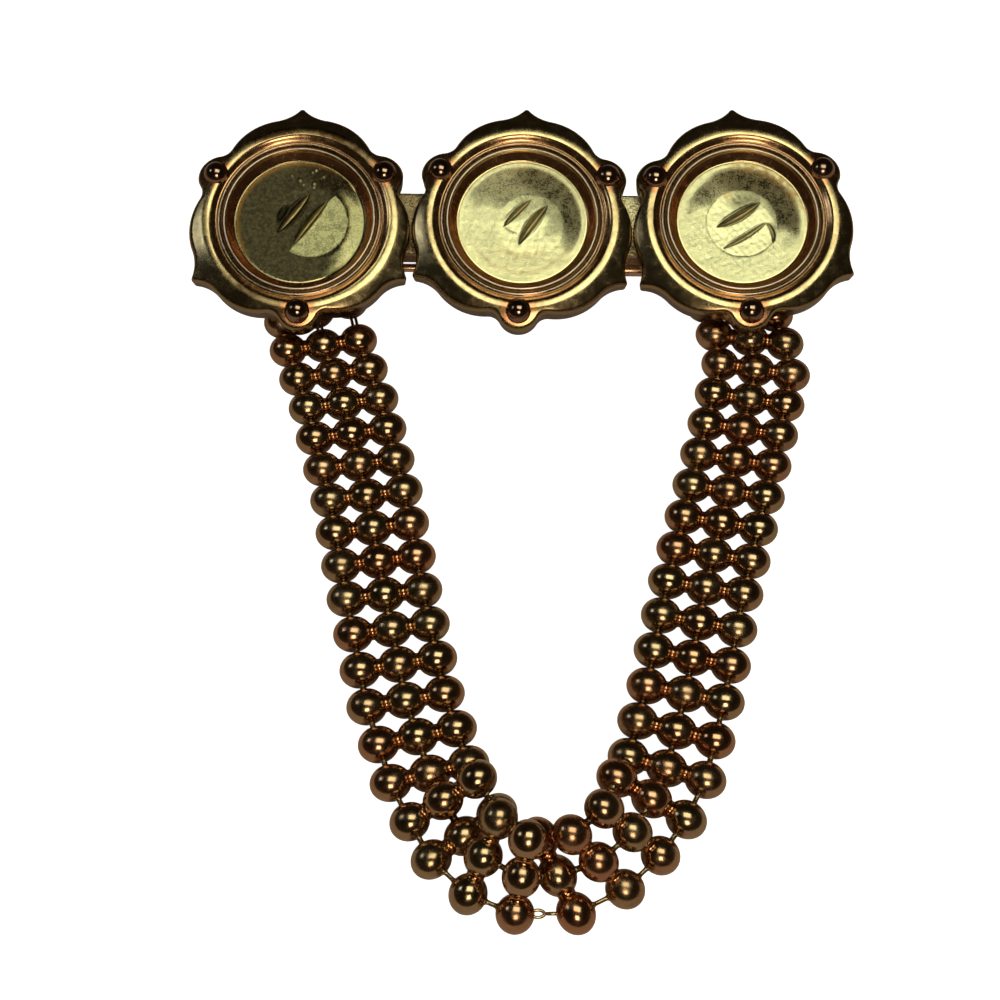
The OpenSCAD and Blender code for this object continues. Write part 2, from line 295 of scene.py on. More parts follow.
class Wiring:
    """Short ways to add nodes to a tree and join them."""

    def __init__(self, tree):
        self.tree = tree

    @classmethod
    def of(cls, holder):
        """The wiring of a material or world that has no nodes yet."""
        holder.use_nodes = True
        holder.node_tree.nodes.clear()
        return cls(holder.node_tree)

    def node(self, kind, settings=None, **inputs):
        """A shader node, with its settings and what goes into its inputs."""
        made = self.tree.nodes.new("ShaderNode" + kind)
        for name, value in (settings or {}).items():
            setattr(made, name, value)
        for name, value in inputs.items():
            self.feed(made.inputs[name.replace("_", " ")], value)
        return made

    def feed(self, socket, value):
        """Join a socket to another one, or give it a constant value."""
        if isinstance(value, bpy.types.NodeSocket):
            self.tree.links.new(value, socket)
        else:
            socket.default_value = value

    def ordered(self, kind, values, **settings):
        """The result of a shader node whose inputs are fed in their own order."""
        made = self.node(kind, settings)
        for socket, value in zip(made.inputs, values):
            self.feed(socket, value)
        return made.outputs[0]

    def maths(self, operation, first, second, clamp=False):
        return self.ordered("Math", (first, second), operation=operation, use_clamp=clamp)

    def times(self, first, second):
        return self.maths("MULTIPLY", first, second)

    def plus(self, first, second):
        return self.maths("ADD", first, second)

    def mix(self, factor, first, second):
        """The first colour where the factor is 0 and the second where it is 1."""
        made = self.node("Mix", {"data_type": "RGBA"})
        self.feed(made.inputs[0], factor)
        self.feed(made.inputs[6], first)
        self.feed(made.inputs[7], second)
        return made.outputs[2]

    def between(self, value, low, high):
        """0 below low, 1 above high, and an even curve between them."""
        return self.ordered("MapRange", (value, low, high), interpolation_type="SMOOTHSTEP")

    def noise(self, place, scale, detail, roughness, distortion=0.0):
        made = self.node("TexNoise", Vector=place, Scale=scale, Detail=detail,
                         Roughness=roughness, Distortion=distortion)
        return made.outputs[0]


def make_tarnish_and_shade():
    """Gold that is browner and darker in patches, and darker still by its Hollow input, which carries
    patina in hollows and painted shade.
    """
    group, given, result = group_with(
        "tarnish",
        [("Place", "Vector", (0, 0, 0)), ("Gold", "Color", (0.83, 0.56, 0.25, 1)),
         ("Tarnish", "Color", (0.3, 0.16, 0.06, 1)), ("Amount", "Float", 0.3),
         ("Scale", "Float", 400.0), ("Hollow", "Float", 0.0)],
        [("Color", "Color")],
    )
    w = Wiring(group)
    wide = w.noise(given["Place"], given["Scale"], 4.0, 0.6, 0.6)
    fine = w.noise(given["Place"], w.times(given["Scale"], 6.0), 3.0, 0.6)
    both = w.plus(w.times(wide, 0.7), w.times(fine, 0.3))
    patches = w.between(both, 0.42, 0.66)
    amount = w.times(patches, given["Amount"])
    # Hollow adds painted shade as well as patina to the darkening
    amount = w.maths("ADD", amount, given["Hollow"], clamp=True)
    colour = w.mix(amount, given["Gold"], given["Tarnish"])
    w.feed(result["Color"], colour)
    return group


def make_handling():
    """Roughness and height of a polished surface with smudges, hairlines and soft dents."""
    group, given, result = group_with(
        "handling",
        [("Place", "Vector", (0, 0, 0)), ("Polish", "Float", 0.12), ("Smudges", "Float", 0.1),
         ("Hairlines", "Float", 0.3), ("Dents", "Float", 0.3)],
        [("Roughness", "Float"), ("Height", "Float")],
    )
    w = Wiring(group)
    place = given["Place"]
    smudge = w.between(w.noise(place, 900.0, 4.0, 0.6), 0.4, 0.7)
    smudge = w.times(smudge, given["Smudges"])
    rough = w.plus(given["Polish"], smudge)
    lines = []
    for turn, scale in ((0.5, 1.0), (-0.9, 1.3)):
        turned = w.node("Mapping", Vector=place, Rotation=(0.0, 0.0, turn),
                        Scale=(9000.0 * scale, 500.0, 4000.0)).outputs[0]
        lines.append(w.between(w.noise(turned, 1.0, 1.0, 0.4), 0.64, 0.74))
    hairlines = w.times(w.plus(lines[0], lines[1]), given["Hairlines"])
    dents = w.times(w.noise(place, 500.0, 2.0, 0.5), given["Dents"])
    height = w.maths("SUBTRACT", dents, w.times(hairlines, 0.08))
    w.feed(result["Roughness"], w.plus(rough, w.times(hairlines, 0.12)))
    w.feed(result["Height"], height)
    return group


def make_grain():
    """The small pits and specks of a cast or etched surface."""
    group, given, result = group_with(
        "grain",
        [("Place", "Vector", (0, 0, 0)), ("Scale", "Float", 5000.0), ("Cover", "Float", 0.5)],
        [("Height", "Float"), ("Specks", "Float")],
    )
    w = Wiring(group)
    place, scale = given["Place"], given["Scale"]
    pits = w.node("TexVoronoi", {"feature": "F1"}, Vector=place, Scale=scale).outputs[0]
    rough = w.noise(place, w.times(scale, 0.6), 4.0, 0.7)
    height = w.plus(w.times(pits, 0.5), rough)
    patches = w.noise(place, w.times(scale, 0.12), 3.0, 0.6)
    chance = w.plus(w.times(rough, 0.65), w.times(patches, 0.35))
    level = w.maths("SUBTRACT", 0.72, w.times(given["Cover"], 0.3))
    specks = w.between(chance, level, w.plus(level, 0.06))
    w.feed(result["Height"], height)
    w.feed(result["Specks"], specks)
    return group


TARNISH_AND_SHADE = make_tarnish_and_shade()
HANDLING = make_handling()
GRAIN = make_grain()

BROWN = (0.22, 0.115, 0.045, 1.0)
DARK_BROWN = (0.10, 0.05, 0.02, 1.0)
# Colour of real stains, and also of the golden painted highlight strip along the cuts
STAIN_AND_LIT_STRIP = (0.50, 0.24, 0.05, 1.0)


def new_finish(name):
    """An empty metal: the material, its wiring, its shader and the object's own coordinates."""
    finish = bpy.data.materials.new(name)
    w = Wiring.of(finish)
    shader = w.node("BsdfPrincipled", Metallic=1.0)
    w.node("OutputMaterial", Surface=shader.outputs[0])
    return finish, w, shader, w.node("TexCoord").outputs["Object"]


def add_group(w, group, **values):
    """A shared node group in a material, with what goes into it."""
    made = w.tree.nodes.new("ShaderNodeGroup")
    made.node_tree = group
    for name, value in values.items():
        w.feed(made.inputs[name], value)
    return made.outputs


def add_bump(w, shader, height, depth):
    """Small relief on a surface; depth is in millimetres."""
    bump = w.node("Bump", Height=height, Distance=depth * MM, Strength=1.0)
    w.feed(shader.inputs["Normal"], bump.outputs[0])


def mark_value(w, name):
    """A value that the piece's mesh carries."""
    return w.node("Attribute", {"attribute_name": name}).outputs["Fac"]


def polished_gold(name, gold, tarnish, amount, polish, scale, hairlines, dents,
                  copper=None, painted_edge_highlight=None):
    """Polished antique gold, patchy with age, that is darker where its hollow mark is: patina in
    grooves, and painted shade in creases, under edges, between parts and on dimly lit sides.

    The amount and scale are those of its patches, and polish is its roughness where it is clean.
    """
    finish, w, shader, place = new_finish(name)
    hollow = mark_value(w, "hollow")
    tone = mark_value(w, "tone")
    tint_and_light = add_group(w, TARNISH_AND_SHADE, Place=place, Gold=gold, Tarnish=tarnish,
                     Amount=w.plus(amount, w.times(tone, 0.25)), Scale=scale,
                     Hollow=hollow)
    handled = add_group(w, HANDLING, Place=place, Polish=polish, Smudges=0.10,
                        Hairlines=hairlines, Dents=dents)
    colour = tint_and_light["Color"]
    rough = w.plus(handled["Roughness"], w.times(hollow, 0.06))
    # On the castings the copper mark is a painted warm reflection; on the chain beads it is a tone
    # that differs at random
    if copper:
        colour = w.mix(mark_value(w, "copper"), colour, copper)
    # The edge mark paints pale lines: painted highlights
    if painted_edge_highlight:
        edge = mark_value(w, "edge")
        colour = w.mix(edge, colour, painted_edge_highlight)
        rough = w.plus(rough, w.times(edge, 0.12))
    w.feed(shader.inputs["Base Color"], colour)
    w.feed(shader.inputs["Roughness"], w.plus(rough, w.times(tone, 0.04)))
    add_bump(w, shader, handled["Height"], 0.02)
    return finish


def cup_gold(name, pale, dull, speck, speck_cover, patches, patch_scale):
    """The floor of a cup: pale etched gold, with speckled areas and darker areas that the mesh marks.
    The darker areas are partly tarnish and partly painted shade where the floor misses the light's
    reflection.
    """
    finish, w, shader, place = new_finish(name)
    tarnished = mark_value(w, "tarnished")
    speckled = mark_value(w, "speckled")
    smooth_disc = mark_value(w, "disc")
    stained = mark_value(w, "stained")
    tint_and_light = add_group(w, TARNISH_AND_SHADE, Place=place, Gold=pale, Tarnish=dull, Amount=patches,
                     Scale=patch_scale, Hollow=tarnished)
    grain = add_group(w, GRAIN, Place=place, Scale=9000.0, Cover=speck_cover)
    specks = w.times(grain["Specks"], speckled)
    colour = w.mix(specks, tint_and_light["Color"], speck)
    # The stains mark also holds the golden painted highlight strip along the cuts
    colour = w.mix(stained, colour, STAIN_AND_LIT_STRIP)
    # The dark mark paints shadow in the cuts and holes, and dark lines round the disc and the crumbs
    colour = w.mix(mark_value(w, "dark"), colour, speck)
    w.feed(shader.inputs["Base Color"], colour)
    rough = w.maths("SUBTRACT", 0.31, w.times(smooth_disc, 0.04))
    w.feed(shader.inputs["Roughness"], w.plus(rough, w.times(specks, 0.2)))
    rise = w.plus(0.35, w.times(speckled, 1.6))
    rise = w.times(rise, w.maths("SUBTRACT", 1.0, w.times(smooth_disc, 0.6)))
    add_bump(w, shader, w.times(grain["Height"], rise), 0.06)
    return finish


def grained_gold(name, gold, tarnish, roughness, depth):
    """Pale sheet metal with a fine granular surface."""
    finish, w, shader, place = new_finish(name)
    hollow = mark_value(w, "hollow")
    tint_and_light = add_group(w, TARNISH_AND_SHADE, Place=place, Gold=gold, Tarnish=tarnish, Amount=0.1, Scale=900.0,
                     Hollow=hollow)
    grain = add_group(w, GRAIN, Place=place, Scale=5200.0, Cover=0.55)
    colour = w.mix(w.times(grain["Specks"], 0.6), tint_and_light["Color"], tarnish)
    w.feed(shader.inputs["Base Color"], colour)
    rough = w.plus(roughness, w.times(grain["Specks"], 0.15))
    w.feed(shader.inputs["Roughness"], rough)
    add_bump(w, shader, grain["Height"], depth)
    return finish


# Its copper colour paints warm reflections on the castings, and its pale edge colour paints highlight
# lines
casting_gold = polished_gold(
    "antique gold casting", (0.80, 0.59, 0.30, 1.0), DARK_BROWN, amount=0.08, polish=0.17, scale=350.0,
    hairlines=0.25, dents=0.5, copper=(0.76, 0.34, 0.15, 1.0), painted_edge_highlight=(1.0, 0.84, 0.72, 1.0))
lobe_bead_gold = polished_gold(
    "dark lobe beads", (0.42, 0.26, 0.18, 1.0), (0.1, 0.06, 0.04, 1.0), amount=0.3, polish=0.10,
    scale=600.0, hairlines=0.1, dents=0.1)
bead_gold = polished_gold(
    "chain beads", (0.53, 0.37, 0.21, 1.0), (0.24, 0.11, 0.05, 1.0), amount=0.3, polish=0.17,
    scale=500.0, hairlines=0.2, dents=0.25, copper=(0.62, 0.27, 0.15, 1.0))
link_gold = polished_gold(
    "link wire", (0.62, 0.45, 0.24, 1.0), DARK_BROWN, amount=0.3, polish=0.22, scale=900.0,
    hairlines=0.2, dents=0.2)
# The deep copper of the necks is partly the solder's colour and partly a painted orange glow of the
# beads reflecting each other
neck_gold = polished_gold(
    "copper necks of the rows", (0.72, 0.33, 0.14, 1.0), BROWN, amount=0.2, polish=0.16, scale=900.0,
    hairlines=0.1, dents=0.5)
pin_gold = polished_gold(
    "copper pin wire", (0.95, 0.62, 0.42, 1.0), BROWN, amount=0.25, polish=0.24, scale=500.0,
    hairlines=0.5, dents=0.3)
finding_gold = polished_gold(
    "hinge and catch", (0.78, 0.58, 0.30, 1.0), BROWN, amount=0.35, polish=0.25, scale=500.0,
    hairlines=0.5, dents=0.4)
plate_gold = grained_gold(
    "granular plate", (1.0, 0.86, 0.50, 1.0), (0.20, 0.10, 0.04, 1.0), roughness=0.26, depth=0.08)
pale_cup = cup_gold(
    "pale cup floor", (1.0, 0.94, 0.54, 1.0), (0.20, 0.175, 0.10, 1.0), (0.05, 0.042, 0.018, 1.0),
    speck_cover=0.75, patches=0.22, patch_scale=1500.0)
dull_cup = cup_gold(
    "dull cup floor", (1.0, 0.93, 0.46, 1.0), (0.082, 0.064, 0.034, 1.0), (0.03, 0.027, 0.012, 1.0),
    speck_cover=0.8, patches=0.15, patch_scale=2500.0)


# ---- Medallions ----

def touching_centre(a, radius_a, b, radius_b, fillet, side):
    """The centre of the circle that touches two others from outside."""
    span = np.linalg.norm(b - a)
    from_a, from_b = radius_a + fillet, radius_b + fillet
    along = (from_a ** 2 - from_b ** 2 + span ** 2) / (2 * span)
    away = math.sqrt(from_a ** 2 - along ** 2)
    ahead = (b - a) / span
    return a + along * ahead + side * away * np.array((-ahead[1], ahead[0]))


def ray_meets(turns, centre, radius, far):
    """How far from the centre rays meet a circle, or 0 where they miss it."""
    along = centre[0] * np.cos(turns) + centre[1] * np.sin(turns)
    off = centre[1] * np.cos(turns) - centre[0] * np.sin(turns)
    room = radius ** 2 - off ** 2
    half = np.sqrt(np.clip(room, 0, None))
    return np.where(room > 0, along + half if far else along - half, 0)


def outline_reach(degrees):
    """The distance from a medallion's centre to its outline."""
    turn = np.abs((np.asarray(degrees) - 90 + 60) % 120 - 60)
    turns = np.radians(turn)
    tip = np.array((POINT_REACH - TIP_RADIUS, 0.0))
    shoulder = polar(SHOULDER_REACH - SHOULDER_RADIUS, SHOULDER_TURN)
    lobe = polar(LOBE_REACH - LOBE_RADIUS, 60)
    reach = np.maximum.reduce([
        ray_meets(turns, tip, TIP_RADIUS, True),
        ray_meets(turns, shoulder, SHOULDER_RADIUS, True),
        ray_meets(turns, lobe, LOBE_RADIUS, True),
    ])
    for other, radius, fillet, side in (
            (tip, TIP_RADIUS, TIP_FILLET, 1), (lobe, LOBE_RADIUS, LOBE_FILLET, -1)):
        centre = touching_centre(shoulder, SHOULDER_RADIUS, other, radius, fillet, side)
        ends = []
        for round_centre in (shoulder, other):
            way = (round_centre - centre) / np.linalg.norm(round_centre - centre)
            touch = centre + fillet * way
            ends.append(math.atan2(touch[1], touch[0]))
        inside = (turns > min(ends)) & (turns < max(ends))
        reach = np.where(inside, ray_meets(turns, centre, fillet, False), reach)
    return reach


# Heights along the radius, from the floor's rim to the crest, before its corners are rounded
PROFILE = rounded([
    (7.16, 2.63), (7.30, 2.66), (7.42, 2.78), (7.68, 3.02), (7.97, 3.30), (8.08, 3.42),
    (8.15, 3.80), (8.19, 3.86), (8.30, 3.86), (8.37, 3.79), (8.42, 3.48), (8.58, 3.42),
    (8.72, 3.56), (8.78, 3.74), (8.82, 3.80), (8.89, 3.80), (8.98, 3.73), (9.06, 3.60),
    (9.24, 3.62), (9.45, 3.76), (9.68, 3.93), (9.90, CREST_HEIGHT),
])

# How steeply the flange falls at some distances from the centre
FLANGE_SLOPES = ((9.90, -0.16), (10.18, 0.0), (10.48, 0.09), (10.68, 0.31), (11.3, 0.42), (14.0, 0.44))


def flange_height(reach):
    """The narrow crest and the falling flange outside it, added up from how steeply it falls."""
    steps = np.linspace(FLANGE_SLOPES[0][0], FLANGE_SLOPES[-1][0], 411)
    slopes = np.interp(steps, *np.transpose(FLANGE_SLOPES))
    falls = np.concatenate([[0], np.cumsum(slopes[1:] + slopes[:-1]) / 2 * (steps[1] - steps[0])])
    return CREST_HEIGHT - np.interp(reach, steps, falls)


def uneven(x, y, seed, waves=9, low=0.5, high=2.5):
    """A soft uneven surface between about -1 and 1, the same each time."""
    draw = np.random.default_rng(seed)
    total = np.zeros_like(x)
    for _ in range(waves):
        turn = draw.uniform(0, 2 * math.pi)
        pitch = draw.uniform(low, high)
        shift = draw.uniform(0, 2 * math.pi)
        total += np.sin((x * math.cos(turn) + y * math.sin(turn)) * pitch + shift)
    return total / math.sqrt(waves)


def from_line(x, y, start, end):
    """Share of the way along a line and signed distance from it."""
    start, end = np.array(start), np.array(end)
    way = end - start
    length = np.linalg.norm(way)
    way = way / length
    along = ((x - start[0]) * way[0] + (y - start[1]) * way[1]) / length
    return along, -(x - start[0]) * way[1] + (y - start[1]) * way[0]


def gouge(x, y, start, end, width, depth, bow=0.0):
    """A leaf-shaped cut: its height, a pale strip along one side, a painted highlight, and its dark
    other side and edges, a painted shadow.
    """
    along, off = from_line(x, y, start, end)
    inside = (along > 0) & (along < 1)
    arch = 4 * np.clip(along * (1 - along), 0, None)
    half = width / 2 * arch ** 0.7 + 1e-6
    part = (off - bow * arch) / half
    cut = -depth * arch ** 0.5 * np.clip(1 - np.abs(part), 0, 1) ** 0.7
    burr = 0.35 * depth * arch * np.exp(-((np.abs(part) - 1.2) / 0.16) ** 2)
    strip = np.exp(-((part + 0.3) / 0.42) ** 4)
    edges = smooth(part, 0.0, 0.35) * (1 - smooth(part, 0.95, 1.1))
    edges = edges + 0.7 * np.exp(-((part + 0.95) / 0.16) ** 2)
    return inside * (cut + burr), inside * strip * arch ** 0.5, inside * np.minimum(edges, 1)


class Medallion:
    """One medallion: its place on the bar and what marks its cup.

    Each gouge has its start, end, width, depth and bow, each crumb its place and size, and each
    hole its start, end and width. The disc in the cup has the place of its centre and its radius.
    """

    cup = pale_cup
    # How much darker the foot of the cup's wall is
    foot_darkening = 0.1

    def __init__(self, name, x, turn, seed, gouges, disc, disc_depth, crumbs=(), holes=()):
        self.name, self.x, self.turn, self.seed = name, x, turn, seed
        self.gouges, self.disc, self.disc_depth = gouges, disc, disc_depth
        self.crumbs, self.holes = crumbs, holes

    def crest(self, degrees):
        """How far out the flange's bright crest sits, and how much painted shade dims it, in each
        direction.
        """
        return np.zeros_like(degrees, float), np.zeros_like(degrees, float)

    def from_disc(self, x, y):
        """How far a place lies outside the disc's edge."""
        return np.hypot(x - self.disc[0], y - self.disc[1]) - self.disc[2]

    def floor(self, x, y):
        """The height of the cup's floor, and the marks that its finish reads."""
        reach = np.hypot(x, y)
        inner = 1 - smooth(reach, 6.6, 7.1)
        height = FLOOR_HEIGHT + 0.05 * (reach / 7) ** 2
        height += 0.012 * inner * uneven(x, y, self.seed)
        height += 0.007 * inner * uneven(x, y, self.seed + 40, waves=14, low=4.0, high=11.0)
        marks = self.marks(x, y, reach)
        from_disc = self.from_disc(x, y)
        height -= self.disc_depth * (1 - smooth(from_disc, -0.05, 0.06))
        drawn = self.disc_drawn(np.degrees(np.arctan2(y - self.disc[1], x - self.disc[0])))
        height -= 0.03 * drawn * np.exp(-(from_disc / 0.07) ** 2)
        dark = 0.75 * drawn * np.exp(-(from_disc / 0.05) ** 2)
        for cut in self.gouges:
            rise, strip, edges = gouge(x, y, *cut)
            height += rise
            # Along each cut one side is painted pale and golden, a painted highlight, and the other
            # side and edges dark, a painted shadow
            dark = np.maximum(dark, 0.85 * edges)
            marks["tarnished"] = marks["tarnished"] * (1 - strip) + 0.15 * strip
            marks["stained"] = np.maximum(marks["stained"], 0.55 * strip)
            marks["speckled"] = marks["speckled"] * (1 - strip)
        for crumb_x, crumb_y, size in self.crumbs:
            away = np.hypot(x - crumb_x, y - crumb_y) / size
            height += 0.8 * size * np.exp(-away ** 2)
            dark = np.maximum(dark, 0.8 * np.exp(-((away - 1.5) / 0.5) ** 2))
            marks["tarnished"] = marks["tarnished"] * (1 - np.exp(-away ** 2))
        for start, end, width in self.holes:
            along, off = from_line(x, y, start, end)
            away = np.hypot(2 * along - 1, 2 * off / width)
            height -= 0.25 * np.exp(-away ** 4)
            # Each hole is painted dark inside: a painted shadow
            dark = np.maximum(dark, np.exp(-away ** 6))
        marks["dark"] = np.minimum(dark, 1)
        return height, marks


class LeftMedallion(Medallion):
    """Its cup is dull, but for a moon-shaped area beside a cut and a lit crescent along the wall."""

    cup = dull_cup
    foot_darkening = 0.6

    def crest(self, degrees):
        turn = (degrees + 180.0) % 360 - 180
        shift = 0.2 * np.exp(-((turn + 15) / 50) ** 4)
        # The crest is painted darker at the top and the lower left: painted shade where it catches
        # less light
        top = np.exp(-((turn - 82) / 55) ** 4)
        low_left = np.exp(-((turn + 115) / 30) ** 4)
        return shift, np.maximum(0.8 * top, 0.6 * low_left)

    def disc_drawn(self, turn):
        return 0.6 * (1 - smooth(np.abs(turn + 20), 60, 100))

    def lit(self, x, y, reach):
        """The crescent along the wall that leans towards the light."""
        turn = np.degrees(np.arctan2(y, x)) + 12 + 5 * np.sin(3 * reach)
        return smooth(reach, 5.15, 5.75) * (1 - smooth(np.abs(turn), 24, 54))

    def floor(self, x, y):
        height, marks = super().floor(x, y)
        reach = np.hypot(x, y)
        return height - 0.20 * np.clip(reach - 5.2, 0, 1.6) * self.lit(x, y, reach), marks

    def marks(self, x, y, reach):
        along, off = from_line(x, y, (-0.95, -3.1), (3.75, 3.1))
        side = off - 0.35 * np.clip(4 * along * (1 - along), 0, None)
        moon = (1 - smooth(side, -0.08, 0.0)) * (self.from_disc(x, y) < 0)
        lit = self.lit(x, y, reach)
        right = smooth(x + 0.2 * y, 0.8, 4.5) * smooth(reach, 4.2, 5.0)
        return {
            # Where the wall leans to the light the floor is painted paler with fewer specks, a painted
            # highlight besides its real tilt; elsewhere its darker floor is partly tarnish and partly
            # painted shade
            "tarnished": (0.93 - 0.76 * moon) * (1 - lit) - 0.3 * lit,
            "speckled": (0.2 + 0.8 * right) * (1 - moon) * (1 - 0.7 * lit) + 0.4 * moon,
            "disc": 0.5 * moon,
            "stained": 0.75 * smooth(reach, 6.5, 7.1) * smooth(y - x, 0.0, 4.0),
        }


class MiddleMedallion(Medallion):
    """Its cup is bright below and dark with specks at the upper right."""

    def disc_drawn(self, turn):
        return 0.25 * (1 - smooth(np.abs(turn - 10), 40, 75))

    def marks(self, x, y, reach):
        wave = 0.6 * uneven(x, y, 5, low=1.0, high=3.0)
        corner = smooth(0.72 * x + 0.69 * y + wave, 0.6, 4.6)
        upper = smooth(0.25 * x + 0.97 * y + wave, -0.8, 3.2)
        rim = smooth(reach, 6.2, 6.7)
        inside = 1 - smooth(self.from_disc(x, y), -0.3, 0.0)
        specks = 0.06 + np.maximum(0.85 * corner, 0.5 * upper)
        arcs = np.exp(-((reach - 4.0 - 0.2 * wave) / 0.3) ** 2) + np.exp(-((reach - 5.9) / 0.16) ** 2)
        right = smooth(reach, 6.4, 7.0) * smooth(x, 2, 5)
        # The darker, speckled upper right is partly tarnish and specks and partly painted shade where
        # the floor misses the light's reflection
        return {
            "tarnished": np.maximum(0.6 * corner, 0.18 * upper) * (1 - rim) * (1 - 0.2 * inside),
            "speckled": specks * (1 - 0.9 * rim) * (1 - 0.45 * inside),
            "disc": 0.3 * inside,
            "stained": 0.22 * arcs * smooth(-y, 2.2, 3.6) + 0.12 * right + 0.12 * smooth(-y, 0.5, 5.0),
        }


class RightMedallion(Medallion):
    """Its cup is bright below, dark with specks at the upper right, and partly grey in its disc."""

    def disc_drawn(self, turn):
        low = np.exp(-((turn + 85) / 45) ** 4)
        return np.maximum(low, 0.5 * np.exp(-((turn - 160) / 40) ** 4))

    def marks(self, x, y, reach):
        wave = 0.5 * uneven(x, y, 8, low=1.0, high=3.0)
        inside = 1 - smooth(self.from_disc(x, y), -0.06, 0.0)
        ring = smooth(reach, 2.4, 4.2) * (1 - smooth(reach, 5.9, 6.7))
        corner = smooth(0.66 * x + 0.75 * y + wave, 1.0, 3.4) * ring
        upper = smooth(-0.4 * x + 0.92 * y + wave, 3.0, 4.6)
        upper = upper * smooth(reach, 3.2, 4.4) * (1 - smooth(reach, 5.7, 6.4))
        mottle = np.clip(0.8 + 0.5 * uneven(x, y, 31, waves=14, low=3.0, high=10.0), 0, 1.3)
        grey = np.exp(-(((x - 0.5) / 2.0) ** 2 + ((y - 2.4) / 1.15) ** 2) ** 2)
        stain = mottle * smooth(0.6 * x + 0.8 * y, 4.4, 5.8) * smooth(reach, 5.5, 6.6)
        spot = np.exp(-((x + 1.4) ** 2 + (y - 3.3) ** 2) / 0.3)
        # The darker, speckled upper right is partly tarnish and specks and partly painted shade where
        # the floor misses the light's reflection
        return {
            "tarnished": np.maximum.reduce([0.7 * corner, 0.25 * upper, 0.8 * grey]),
            "speckled": 0.08 + 0.88 * np.maximum(corner, 0.75 * upper) * (1 - 0.6 * inside),
            "disc": 0.5 * inside,
            "stained": np.maximum(0.6 * stain, 0.5 * spot),
        }


class Rings:
    """Rings round a medallion's centre, and the marks that the casting's finish reads."""

    def __init__(self, cosine, sine):
        self.cosine, self.sine = cosine, sine
        self.rings = []
        self.marks = {name: [] for name in ("hollow", "copper", "edge", "tone")}

    def add(self, radius, level, **marks):
        radius, level = np.broadcast_to(radius, COLUMNS), np.broadcast_to(level, COLUMNS)
        self.rings.append(np.column_stack((radius * self.cosine, radius * self.sine, level)))
        for name, values in self.marks.items():
            values.append(np.broadcast_to(marks.get(name, 0.0), COLUMNS))

    def add_to(self, shape):
        marks = {name: np.concatenate(values) for name, values in self.marks.items()}
        shape.add_rings(self.rings, CASTING, **marks)


def add_cup_floor(shape, medallion, cosine, sine):
    """The floor of the cup. Returns where it ends: the reach and height of the wall's foot."""
    reaches = np.concatenate([[0.01, 0.06], np.arange(0.12, FLOOR_REACH, 0.11)])
    x, y = np.outer(reaches, cosine), np.outer(reaches, sine)
    height, marks = medallion.floor(x, y)
    floor = np.dstack((x, y, height))
    shape.add_rings(floor, CUP, **{name: value.ravel() for name, value in marks.items()})
    shape.faces.append(tuple(reversed(range(COLUMNS))))
    shape.finishes.append(CUP)
    return reaches[-1], height[-1]


def add_bezel(rings, medallion, lumps):
    """The wall of the cup, the bezel and the line round it, up to the flange."""
    for radius, level in PROFILE:
        # The grooves are darker, partly patina and partly painted shade, and the foot of the wall is
        # darker too
        groove = math.exp(-((radius - 8.56) / 0.16) ** 4)
        groove += 0.8 * math.exp(-((radius - 9.12) / 0.13) ** 2)
        foot = medallion.foot_darkening * (1 - smooth(radius, 7.4, 7.6))
        # Pale lines along the bezel's edges: painted highlights
        tint_and_light = math.exp(-((radius - 8.25) / 0.10) ** 4)
        tint_and_light += 0.8 * math.exp(-((radius - 8.86) / 0.09) ** 4)
        # Copper on the cup's wall, less on its far side, and on the band inside the crest: a painted
        # warm reflection
        wall = smooth(radius, 7.32, 7.5) * (1 - smooth(radius, 8.02, 8.1))
        band = 0.55 * smooth(radius, 9.0, 9.2) * (1 - smooth(radius, 9.7, 9.95))
        rings.add(radius, level + lumps * smooth(radius, 7.4, 8.2),
                  hollow=min(groove + foot, 1), edge=tint_and_light,
                  copper=np.maximum(wall * (1 - 0.4 * smooth(rings.sine, 0.1, 0.9)), band))


